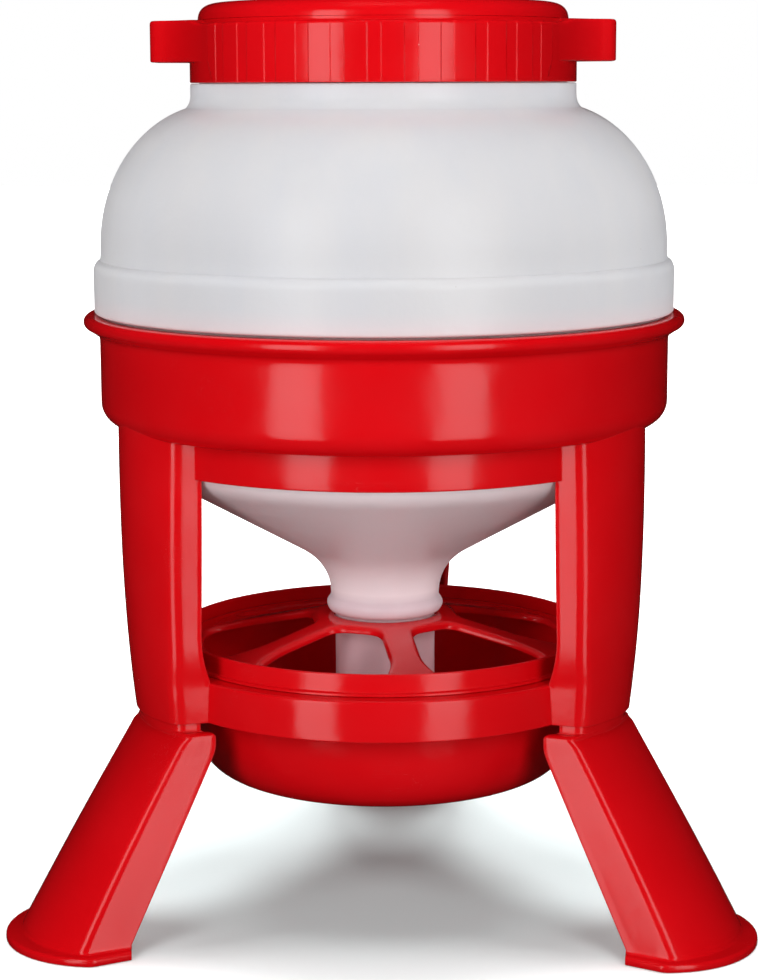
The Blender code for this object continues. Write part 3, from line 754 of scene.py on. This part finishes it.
def hopper_outside():
    """Section of the hopper's outer side, from its mouth down to the end of its tube."""
    centre_r = SHOULDER_R - SHOULDER_WIDE
    shoulder = []
    for index in range(41):
        angle = radians(74 - 74 * index / 40)
        shoulder.append((centre_r + SHOULDER_WIDE * cos(angle),
                         SHOULDER_Z + SHOULDER_TALL * sin(angle)))
    seat_r = BASKET_R - WALL - 0.0022
    seat_z = STEP_TOP - STEP_ROUND + WALL + GAP
    body_r = SKIRT_R - WALL - 0.0025
    corner_z = CONE_Z + (body_r - CONE_R) / CONE_RUN
    cone_out = 0.148
    cone_in = 0.060

    def cone_z(radius):
        return CONE_Z + (radius - CONE_R) / CONE_RUN

    return (
        [(FINISH_R - 0.0008, MOUTH_TOP), (FINISH_R - 0.0002, MOUTH_TOP - 0.0003)]
        + dense([(FINISH_R, MOUTH_TOP - 0.0010), (FINISH_R, NECK_TOP + 0.0012)], 0.0007)
        + bend((FINISH_R, NECK_TOP + 0.0010), (FINISH_R, NECK_TOP), (FINISH_R + 0.0010, NECK_TOP), 3)
        + bend((NECK_R - 0.0015, NECK_TOP), (NECK_R, NECK_TOP), (NECK_R, NECK_TOP - 0.0015), 4)
        + bend((NECK_R, 0.5480), (NECK_R + 0.0005, 0.5430), shoulder[0], 10)
        + shoulder[1:]
        + [(SHOULDER_R + 0.0002, 0.4440)]
        + bend((SHOULDER_R + 0.0006, 0.4410), (BAND_R, 0.4388), (BAND_R, 0.4335), 10)
        + dense([(BAND_R, 0.4325), (BAND_R, 0.4085)], 0.004)
        + bend((BAND_R, 0.4075), (BAND_R, 0.4052), (SHOULDER_R - 0.0012, 0.4050), 8)
        + dense([(seat_r + 0.0018, 0.4020), (seat_r, seat_z + 0.0130)], 0.008)
        + arc((seat_r - 0.012, seat_z + 0.012), 0.012, 0, -84, 10)
        + bend((body_r + 0.0030, seat_z), (body_r, seat_z), (body_r, seat_z - 0.0035), 5)
        + bend((body_r, corner_z + 0.010), (body_r, corner_z), (cone_out, cone_z(cone_out)), 10)
        + dense([(cone_out - 0.002, cone_z(cone_out - 0.002)), (cone_in + 0.002, cone_z(cone_in + 0.002))],
                0.006)
        + bend((cone_in, cone_z(cone_in)), (THROAT_R, cone_z(THROAT_R)), (THROAT_R, THROAT_LOW), 18)
        + arc((THROAT_R - 0.0035, BEAD_Z), BEAD_ROUND, 45, -72, 12)
        + bend((TUBE_R + 0.0008, 0.1970), (TUBE_R, 0.1968), (TUBE_R, 0.1955), 3)
        + dense([(TUBE_R, 0.1940), (TUBE_R, TUBE_END + 0.001)], 0.006)
        + [(TUBE_R - 0.0003, TUBE_END + 0.0003), (TUBE_R - 0.0010, TUBE_END)]
    )


def build_hopper():
    """The blow-moulded hopper, with the thread ridge on its neck and a faint parting line down each side."""
    outside = hopper_outside()
    loop = outside + list(reversed(inner_side(outside, HOPPER_WALL)))
    outer_count = len(outside)

    def outline_at(angle):
        shaped = []
        from_parting = abs((angle + 90) % 180 - 90)
        seam = SEAM_RISE * exp(-(from_parting / SEAM_HALF_ANGLE) ** 2)
        for index, (radius, height) in enumerate(loop):
            if index < outer_count and height > NECK_TOP + 0.001:
                radius += thread_rise(angle, height, THREAD_START)
            elif index < outer_count and height < NECK_TOP - 0.002:
                radius += seam
            shaped.append((radius, height))
        return shaped

    angles = even_angles(288)
    angles += [offset + spot for offset in (0, 180) for spot in (-0.8, -0.4, 0.4, 0.8)]
    hopper = swept("hopper_moulding", outline_at, sorted(angle % 360 for angle in angles))
    dress(hopper, "hopper", milky_plastic, "milky_plastic", "hopper")


def ear_plan():
    """One side of an ear in plan about +X: its flank from the ring out to the tip."""
    root = (LID_R * cos(radians(EAR_HALF_ANGLE)), LID_R * sin(radians(EAR_HALF_ANGLE)))
    flank = bend(root, (0.1300, 0.0330), (EAR_REACH - 0.009, 0.0250), 16)
    corner = bend(flank[-1], (EAR_REACH, 0.0235), (EAR_REACH, 0.0160), 8)[1:]
    return flank + corner + [(EAR_REACH, 0.0)]


def ear_radius(angle):
    """Reach of the lid's outer wall at an angle from an ear's middle, in degrees."""
    if angle >= EAR_HALF_ANGLE:
        return LID_R
    tangent = tan(radians(angle))
    plan = ear_plan()
    for (x0, y0), (x1, y1) in zip(plan, plan[1:]):
        lean0 = y0 - tangent * x0
        lean1 = y1 - tangent * x1
        if lean0 >= 0 >= lean1:
            t = lean0 / (lean0 - lean1) if lean0 != lean1 else 0.0
            return max(LID_R, hypot(x0 + (x1 - x0) * t, y0 + (y1 - y0) * t))
    return LID_R


def grip_radius(angle, height):
    """Radius of the ribbed band at an angle from its middle: nearly round ribs, narrow recesses between."""
    low = max(0.0, (EAR_BOTTOM - height) / (EAR_BOTTOM - LID_BOTTOM))
    limit = GRIP_HALF_ANGLE - 2.6 * low
    if abs(angle) > limit:
        return LID_R
    place = (angle - GRIP_CENTRE + GRIP_PERIOD / 2) % GRIP_PERIOD - GRIP_PERIOD / 2
    half = GRIP_WIDE / 2
    if abs(place) <= half:
        flat = cos(radians(half)) / cos(radians(place))
        return GRIP_R * (1 - GRIP_FLATNESS + GRIP_FLATNESS * flat)
    return GRIP_R - GRIP_RECESS


def lid_angles():
    """Angles round the lid, close together where the ears and the ribs need it."""
    angles = []
    for side in (0, 180):
        angles += [side + index * 0.75 for index in range(-38, 39)]
        middle = side + 90
        count = int(GRIP_HALF_ANGLE / GRIP_PERIOD) + 2
        for rib in range(-count, count + 1):
            for edge in (-GRIP_WIDE / 2, GRIP_WIDE / 2):
                spot = GRIP_CENTRE + rib * GRIP_PERIOD + edge
                angles += [middle + spot + off for off in (-1.2, -0.09, 0.09, 1.2)
                           if abs(spot + off) < GRIP_HALF_ANGLE]
            spot = GRIP_CENTRE + rib * GRIP_PERIOD
            if abs(spot) < GRIP_HALF_ANGLE:
                angles.append(middle + spot)
        for limit in (GRIP_HALF_ANGLE, GRIP_HALF_ANGLE - 2.6):
            angles += [middle + sign * (limit + off) for sign in (-1, 1) for off in (-0.08, 0.08)]
        angles += [middle + sign * (GRIP_HALF_ANGLE - 2.6 * step / 6) for sign in (-1, 1)
                   for step in range(1, 6)]
    kept = []
    for angle in sorted(angle % 360 for angle in angles):
        if not kept or angle - kept[-1] > 0.05:
            kept.append(angle)
    return kept


def lid_outline(angle):
    """The lid's section at an angle, from the middle of its top, out, down and back to the middle."""
    from_ear = abs((angle + 90) % 180 - 90)
    from_middle = (angle % 180) - 90
    reach = ear_radius(from_ear)
    ear_share = max(0.0, min(1.0, (reach - LID_R) / 0.004))
    ear_share = ear_share * ear_share * (3 - 2 * ear_share)
    top = LID_RING_TOP + (EAR_TOP - LID_RING_TOP) * ear_share

    def wall(height):
        return max(grip_radius(from_middle, height), reach)

    def ring(height):
        return grip_radius(from_middle, height)

    soft = 0.0026
    panel = LID_TOP - 0.0045
    outline = (
        [(0.0, panel), (0.030, panel), (0.060, panel)]
        + bend((0.088, panel), (0.094, LID_TOP - 0.0044), (0.0965, LID_TOP - 0.0022), 5)
        + bend((0.0965, LID_TOP - 0.0022), (0.099, LID_TOP), (0.106, LID_TOP), 6)[1:]
        + bend((0.108, LID_TOP), (LID_DOME_R, LID_TOP), (LID_DOME_R, LID_TOP - 0.0115), 16)
        + [(LID_DOME_R, LID_RING_TOP + 0.0030)]
        + bend((LID_DOME_R, max(LID_RING_TOP + 0.0016, top + 0.0004)),
               (LID_DOME_R, top), (LID_DOME_R + 0.0014, top), 4)
    )
    edge = wall(top - soft)
    outline += bend((edge - soft, top), (edge, top), (edge, top - soft), 6)
    for height in (0.5880, 0.5840, 0.5795, 0.5750):
        outline.append((wall(height), height))
    outline += [(wall(EAR_BOTTOM + 0.0010), EAR_BOTTOM + 0.0010),
                (wall(EAR_BOTTOM) - 0.0003 * ear_share, EAR_BOTTOM + 0.0003),
                (wall(EAR_BOTTOM) - 0.0010 * ear_share, EAR_BOTTOM)]
    outline.append((ring(EAR_BOTTOM) + 0.0006 * ear_share, EAR_BOTTOM - 0.0001))
    for height in (0.5699, 0.5670, 0.5640, 0.5610, LID_BOTTOM + 0.0009):
        outline.append((ring(height), height))
    base = ring(LID_BOTTOM)
    outline += [(base - 0.0003, LID_BOTTOM + 0.0002), (base - 0.0010, LID_BOTTOM)]
    inside_r = LID_R - WALL
    outline += [(inside_r + 0.0004, LID_BOTTOM), (inside_r, LID_BOTTOM + 0.0004)]
    start = THREAD_START - THREAD_LEAD / 2
    for index in range(1, 44):
        height = LID_BOTTOM + 0.0004 + (LID_LAND - LID_BOTTOM - 0.0008) * index / 44
        outline.append((inside_r - thread_rise(angle, height, start), height))
    outline += [(inside_r, LID_LAND), (LID_DOME_R - 0.0035, LID_LAND)]
    outline.append((LID_DOME_R - 0.0035, LID_TOP - 0.0120))
    outline += [(0.112, LID_TOP - 0.0035), (0.098, LID_TOP - 0.0040), (0.093, LID_TOP - 0.0075)]
    outline.append((0.0, LID_TOP - 0.0075))
    return outline


def build_lid():
    """The screw lid with its two ears, hollow underneath, and the ribbed band between them."""
    lid = swept("screw_lid", lid_outline, lid_angles())
    pockets = []
    for side in (0, 180):
        plan = rounded([(0.1320, 0.0220, 0.004), (0.1320, -0.0220, 0.004), (0.1515, -0.0195, 0.005),
                        (0.1515, 0.0195, 0.005)])
        low = [(x, y, EAR_BOTTOM - 0.006) for x, y in plan]
        high = [(x, y, EAR_TOP - WALL) for x, y in plan]
        pockets.append(stacked(f"ear_hollow_{side}", [low, high], side))
    combine(lid, pockets, "DIFFERENCE")
    dress(lid, "lid", red_plastic, "red_plastic", "lid")


def build_seal():
    """The flat ring between the hopper's mouth and the lid, with a shallow groove on top."""
    top = LID_LAND - GAP
    low = MOUTH_TOP + GAP
    inner = FINISH_R - HOPPER_WALL - 0.0015
    outer = LID_R - WALL - 0.0011
    middle = (inner + outer) / 2
    seal = turned("lid_seal_ring", rounded([
        (inner, top, 0.0006), (middle - 0.001, top, 0.0003), (middle, top - 0.0005, 0.0003),
        (middle + 0.001, top, 0.0003), (outer, top, 0.0006), (outer, low, 0.0006), (inner, low, 0.0006),
    ]))
    dress(seal, "seal", rubber, "seal_rubber", "lid_seal")


class Nodes:
    """A short way to write a material's node tree."""

    def __init__(self, name):
        self.material = bpy.data.materials.new(name)
        self.material.use_nodes = True
        self.tree = self.material.node_tree
        self.shader = self.tree.nodes["Principled BSDF"]
        self.place = self.add("ShaderNodeTexCoord").outputs["Object"]

    def add(self, kind, inputs=None, **settings):
        node = self.tree.nodes.new(kind)
        for name, value in settings.items():
            setattr(node, name, value)
        for name, value in (inputs or {}).items():
            self.put(value, node.inputs[name])
        return node

    def put(self, value, socket):
        if isinstance(value, bpy.types.NodeSocket):
            self.tree.links.new(value, socket)
        else:
            socket.default_value = value

    def math(self, operation, first, second=0.0, clamp=False):
        return self.add("ShaderNodeMath", {0: first, 1: second}, operation=operation,
                        use_clamp=clamp).outputs[0]

    def noise(self, scale, detail=2.0, roughness=0.5, stretch=(1, 1, 1), turn=(0, 0, 0)):
        mapping = self.add("ShaderNodeMapping", {"Vector": self.place, "Scale": stretch, "Rotation": turn})
        return self.add("ShaderNodeTexNoise", {
            "Vector": mapping.outputs[0], "Scale": scale, "Detail": detail, "Roughness": roughness,
        }).outputs[0]

    def steps(self, value, low, high, to_low=0.0, to_high=1.0):
        """value carried from low..high to to_low..to_high, and held there outside."""
        return self.add("ShaderNodeMapRange", {
            "Value": value, "From Min": low, "From Max": high, "To Min": to_low, "To Max": to_high,
        }).outputs[0]

    def specks(self, scale, edge, core, clean):
        """Sparse round specks that fade from core to edge, in all but the clean share of the cells."""
        cells = self.add("ShaderNodeTexVoronoi", {"Vector": self.place, "Scale": scale, "Randomness": 1.0})
        chance = self.add("ShaderNodeSeparateColor", {0: cells.outputs["Color"]}).outputs[0]
        return self.math("MULTIPLY", self.steps(cells.outputs["Distance"], edge, core),
                         self.steps(chance, clean, clean + 0.01))

    def mix(self, share, first, second):
        node = self.add("ShaderNodeMix", data_type="RGBA")
        self.put(share, node.inputs["Factor"])
        self.put(first, [s for s in node.inputs if s.name == "A" and s.type == "RGBA"][0])
        self.put(second, [s for s in node.inputs if s.name == "B" and s.type == "RGBA"][0])
        return [s for s in node.outputs if s.type == "RGBA"][0]

    def bump(self, height, distance, normal=None):
        inputs = {"Height": height, "Distance": distance, "Strength": 1.0}
        if normal is not None:
            inputs["Normal"] = normal
        return self.add("ShaderNodeBump", inputs).outputs[0]

    def set(self, **inputs):
        for name, value in inputs.items():
            self.put(value, self.shader.inputs[name.replace("_", " ")])


def make_red():
    """Glossy moulded polypropylene: orange peel, fine scratches, dust and lighter handled edges."""
    nodes = Nodes("red_plastic_look")
    clouds = nodes.noise(9, 3)
    grain = nodes.noise(260, 2)
    colour = nodes.mix(nodes.steps(clouds, 0.35, 0.65), RED_DEEP, RED_BRIGHT)
    bevel = nodes.add("ShaderNodeBevel", {"Radius": 0.0009}, samples=4).outputs[0]
    normal = nodes.add("ShaderNodeNewGeometry").outputs["Normal"]
    along = nodes.add("ShaderNodeVectorMath", {0: bevel, 1: normal}, operation="DOT_PRODUCT")
    wear = nodes.steps(along.outputs["Value"], 0.995, 0.90)
    wear = nodes.math("MULTIPLY", wear, nodes.steps(nodes.noise(60, 3), 0.4, 0.65))
    colour = nodes.mix(nodes.math("MULTIPLY", wear, 0.35), colour, RED_WORN)
    speck = nodes.specks(75.0, 0.030, 0.018, 0.955)
    colour = nodes.mix(nodes.math("MULTIPLY", speck, 0.55), colour, DUST)
    scratch = nodes.noise(26, 1, stretch=(1, 22, 9), turn=(0.4, 0.9, 0.3))
    scratch = nodes.steps(nodes.math("ABSOLUTE", nodes.math("SUBTRACT", scratch, 0.5)), 0.0035, 0.0)
    patch = nodes.steps(nodes.noise(14, 2), 0.60, 0.68)
    scratch = nodes.math("MULTIPLY", scratch, patch)
    rough = nodes.steps(nodes.noise(35, 4), 0.3, 0.7, 0.13, 0.20)
    rough = nodes.math("ADD", rough, nodes.math("MULTIPLY", scratch, 0.25))
    rough = nodes.math("ADD", rough, nodes.math("MULTIPLY", speck, 0.4))
    rough = nodes.math("ADD", rough, nodes.math("MULTIPLY", wear, 0.08))
    peel = nodes.math("ADD", nodes.noise(55, 2), nodes.math("MULTIPLY", grain, 0.10))
    surface = nodes.bump(peel, 0.00022, bevel)
    surface = nodes.bump(nodes.math("SUBTRACT", speck, scratch), 0.00006, surface)
    nodes.set(Base_Color=colour, Roughness=rough, Normal=surface)
    nodes.set(IOR=1.49, Subsurface_Weight=0.0)
    return nodes.material


def make_milky():
    """Blow-moulded milky polyethylene with flow streaks, and painted red light where the red stand is round
    it, with painted shade on the bead.
    """
    nodes = Nodes("milky_plastic_look")
    streaks = nodes.noise(30, 3, stretch=(1, 1, 0.06))
    clouds = nodes.noise(7, 3)
    share = nodes.math("ADD", nodes.math("MULTIPLY", streaks, 0.5), nodes.math("MULTIPLY", clouds, 0.5))
    colour = nodes.mix(nodes.steps(share, 0.38, 0.62), MILKY_COOL, MILKY_WARM)
    height = nodes.add("ShaderNodeSeparateXYZ", {0: nodes.place}).outputs["Z"]
    # Painted red light from the stand, by height: from the rim down onto the cone and the tube in the pan,
    # and darker painted shade on the bead
    colour = nodes.mix(nodes.steps(height, RIM_TOP + 0.016, RIM_TOP), colour, MILKY_RIM_PAINTED_RED_LIGHT)
    colour = nodes.mix(nodes.steps(height, RIM_TOP, SKIRT_BOTTOM), colour, MILKY_PAINTED_RED_LIGHT)
    colour = nodes.mix(nodes.steps(height, GRID_HUB_TOP + 0.018, GRID_HUB_TOP + 0.012), colour, MILKY_BEAD_PAINTED_RED_AND_SHADE)
    colour = nodes.mix(nodes.steps(height, GRID_HUB_TOP, GRID_HUB_TOP - 0.006), colour, MILKY_DEEP_PAINTED_RED_LIGHT)
    speck = nodes.specks(60.0, 0.035, 0.020, 0.965)
    colour = nodes.mix(nodes.math("MULTIPLY", speck, 0.4), colour, MILKY_SPECK)
    rough = nodes.steps(nodes.noise(40, 4), 0.3, 0.7, 0.30, 0.40)
    peel = nodes.math("ADD", nodes.noise(45, 3), nodes.math("MULTIPLY", nodes.noise(400, 2), 0.12))
    surface = nodes.bump(peel, 0.0004)
    surface = nodes.bump(nodes.noise(30, 2, stretch=(1, 1, 0.06)), 0.0004, surface)
    nodes.set(Base_Color=colour, Roughness=rough, Normal=surface)
    nodes.set(IOR=1.5, Subsurface_Weight=0.35, Subsurface_Radius=(1.0, 0.92, 0.9), Subsurface_Scale=0.012)
    return nodes.material


def make_rubber():
    """Soft grey seal rubber with a matt, slightly mottled face."""
    nodes = Nodes("seal_rubber_look")
    mottle = nodes.noise(120, 4)
    colour = nodes.mix(nodes.steps(mottle, 0.35, 0.65), RUBBER_DARK, RUBBER_PALE)
    nodes.set(Base_Color=colour, Roughness=nodes.steps(mottle, 0.3, 0.7, 0.6, 0.8))
    nodes.set(Normal=nodes.bump(nodes.noise(600, 3), 0.0001))
    return nodes.material


def dress(piece, body, look, slot, *cad_nodes):
    """Gives a piece its look and hands it to the body it moves with."""
    piece.data.materials.clear()
    piece.data.materials.append(look)
    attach(piece, body)
    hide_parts(*cad_nodes)
    return piece


def set_camera():
    """Camera in front of the feeder, a little above its middle and looking slightly down."""
    azimuth = radians(CAMERA_AZIMUTH)
    camera = bpy.data.cameras.new("camera")
    camera.sensor_width = 36
    camera.lens = CAMERA_LENS
    camera.clip_start = 0.05
    camera.clip_end = 50
    holder = bpy.data.objects.new("camera", camera)
    bpy.context.scene.collection.objects.link(holder)
    holder.location = (CAMERA_AWAY * cos(azimuth), AXIS_Y + CAMERA_AWAY * sin(azimuth), CAMERA_UP)
    heading = azimuth + pi + radians(CAMERA_YAW)
    pitch = radians(CAMERA_PITCH)
    aim = Vector((cos(heading) * cos(pitch), sin(heading) * cos(pitch), -sin(pitch)))
    turn = aim.to_track_quat("-Z", "Y").to_matrix() @ Matrix.Rotation(radians(CAMERA_ROLL), 3, "Z")
    holder.rotation_euler = turn.to_euler()
    bpy.context.scene.camera = holder


def lit_group(name):
    """A collection that a light can be limited to."""
    group = bpy.data.collections.new(name)
    bpy.context.scene.collection.children.link(group)
    return group


def add_light(name, azimuth, away, height, wide, tall, power, aim_height, mirrored=True):
    """A soft box at an azimuth from the camera's side of the axis; one that isn't mirrored only fills."""
    lamp = bpy.data.lights.new(name, "AREA")
    lamp.shape = "RECTANGLE"
    lamp.size = wide
    lamp.size_y = tall
    lamp.energy = power
    holder = bpy.data.objects.new(name, lamp)
    bpy.context.scene.collection.objects.link(holder)
    holder.visible_glossy = mirrored
    angle = radians(CAMERA_AZIMUTH + azimuth)
    holder.location = (away * cos(angle), AXIS_Y + away * sin(angle), height)
    aim = Vector((0, AXIS_Y, aim_height)) - holder.location
    holder.rotation_euler = aim.to_track_quat("-Z", "Y").to_euler()
    return holder


def lit_by_path(tree, camera_shader, other_shader, ray):
    """One shader for rays of that kind and another for the rest."""
    path = tree.nodes.new("ShaderNodeLightPath")
    mix = tree.nodes.new("ShaderNodeMixShader")
    tree.links.new(path.outputs[ray], mix.inputs[0])
    tree.links.new(other_shader, mix.inputs[1])
    tree.links.new(camera_shader, mix.inputs[2])
    return mix.outputs[0]


def set_world():
    """A white studio: pure white behind the feeder, nearly black where the gloss would mirror it."""
    world = bpy.data.worlds.new("studio")
    bpy.context.scene.world = world
    world.use_nodes = True
    tree = world.node_tree
    tree.nodes.clear()
    shades = []
    for strength in (1.0, WORLD_MIRRORED, WORLD_FILL):
        shade = tree.nodes.new("ShaderNodeBackground")
        shade.inputs["Strength"].default_value = strength
        shade.inputs["Color"].default_value = (1, 1, 1, 1)
        shades.append(shade.outputs[0])
    dark = lit_by_path(tree, shades[1], shades[2], "Is Glossy Ray")
    shown = lit_by_path(tree, shades[0], dark, "Is Camera Ray")
    out = tree.nodes.new("ShaderNodeOutputWorld")
    tree.links.new(shown, out.inputs[0])
    bpy.context.scene.view_settings.view_transform = "Standard"


def add_sun(azimuth, steep, strength):
    """A wide sun at an azimuth from the camera's side that lights the table alone."""
    lamp = bpy.data.lights.new(f"table_light_{azimuth}", "SUN")
    lamp.energy = strength
    lamp.angle = radians(TABLE_LIGHT_ANGLE)
    holder = bpy.data.objects.new(lamp.name, lamp)
    bpy.context.scene.collection.objects.link(holder)
    turn = radians(CAMERA_AZIMUTH + azimuth)
    rise = radians(steep)
    level = cos(rise)
    aim = Vector((-cos(turn) * level, -sin(turn) * level, -sin(rise)))
    holder.rotation_euler = aim.to_track_quat("-Z", "Y").to_euler()
    holder.light_linking.receiver_collection = bpy.data.collections["table"]


def set_lights():
    """Two tall soft boxes in front, their wide fill, a top light and lights for the hopper and the table."""
    milky = bpy.data.collections["milky"]
    for side, azimuth, share in BOX_SIDES:
        add_light(f"soft_box_{side}", azimuth, BOX_AWAY, BOX_MIDDLE, BOX_WIDE, BOX_TALL, share * BOX_POWER,
                  BOX_MIDDLE)
        add_light(f"fill_box_{side}", azimuth, BOX_AWAY, 0.70, 0.90, 1.40, share * FILL_POWER, 0.35,
                  mirrored=False)
    add_light("top_box", 0, 0.30, 1.60, 0.70, 0.70, TOP_POWER, 0.0, mirrored=False)
    for side, azimuth in GLOW_SIDES:
        glow = add_light(f"milky_glow_{side}", azimuth, 1.20, 0.50, 0.60, 0.80, GLOW_POWER, 0.42,
                         mirrored=False)
        glow.light_linking.receiver_collection = milky
    low = add_light("milky_low", 0, 1.10, 0.22, 0.20, 0.20, LOW_POWER, 0.24, mirrored=False)
    low.data.type = "SPOT"
    low.data.spot_size = radians(LOW_SPREAD)
    low.data.spot_blend = 0.6
    low.data.shadow_soft_size = 0.10
    low.light_linking.receiver_collection = milky
    for azimuth, steep, strength in TABLE_LIGHTS:
        add_sun(azimuth, steep, strength)


def set_floor():
    """A plain white table that fades into the white backdrop, with a painted glow that is faint round the
    feeder.
    """
    mesh = bpy.data.meshes.new("floor")
    corners = [(x * FLOOR_REACH, y * FLOOR_REACH, 0) for x, y in ((-1, -1), (1, -1), (1, 1), (-1, 1))]
    mesh.from_pydata(corners, [], [(0, 1, 2, 3)])
    floor = bpy.data.objects.new("floor", mesh)
    lit_group("table").objects.link(floor)
    floor.location.z = -0.0002
    floor.visible_glossy = False
    nodes = Nodes("pale_floor")
    away = nodes.add("ShaderNodeVectorMath", {0: nodes.place}, operation="LENGTH").outputs["Value"]
    colour = nodes.mix(nodes.noise(3, 2), FLOOR_PALE, FLOOR_PALER)
    # Painted tint: less red round the feeder, against the red light that the feeder bounces onto the table
    colour = nodes.mix(nodes.steps(away, 0.35, 0.15), colour, FLOOR_UNDER_PAINTED_LESS_RED)
    nodes.set(Base_Color=colour, Roughness=0.9, Specular_IOR_Level=0.0)
    # Painted glow seen by the camera: faint round the feeder so that its shadows show, and full further out
    strength = nodes.steps(away, 0.22, 0.75, FLOOR_GLOW, 1.0)
    glow = nodes.add("ShaderNodeEmission", {"Color": (1, 1, 1, 1), "Strength": strength}).outputs[0]
    both = nodes.add("ShaderNodeAddShader", {0: nodes.shader.outputs[0], 1: glow}).outputs[0]
    # Rays other than the camera's see this dim copy of the table, which sets how much light it bounces
    pale = nodes.add("ShaderNodeBsdfDiffuse", {"Color": FLOOR_BOUNCE}).outputs[0]
    shown = lit_by_path(nodes.tree, both, pale, "Is Camera Ray")
    out = [node for node in nodes.tree.nodes if node.type == "OUTPUT_MATERIAL"][0]
    nodes.tree.links.new(shown, out.inputs[0])
    mesh.materials.append(nodes.material)


red_plastic = make_red()
milky_plastic = make_milky()
rubber = make_rubber()
build_stand()
build_legs()
build_pan()
build_grid()
build_hopper()
build_lid()
build_seal()
lit_group("milky").objects.link(bpy.data.objects["hopper_moulding"])
set_floor()
set_world()
set_lights()
set_camera()
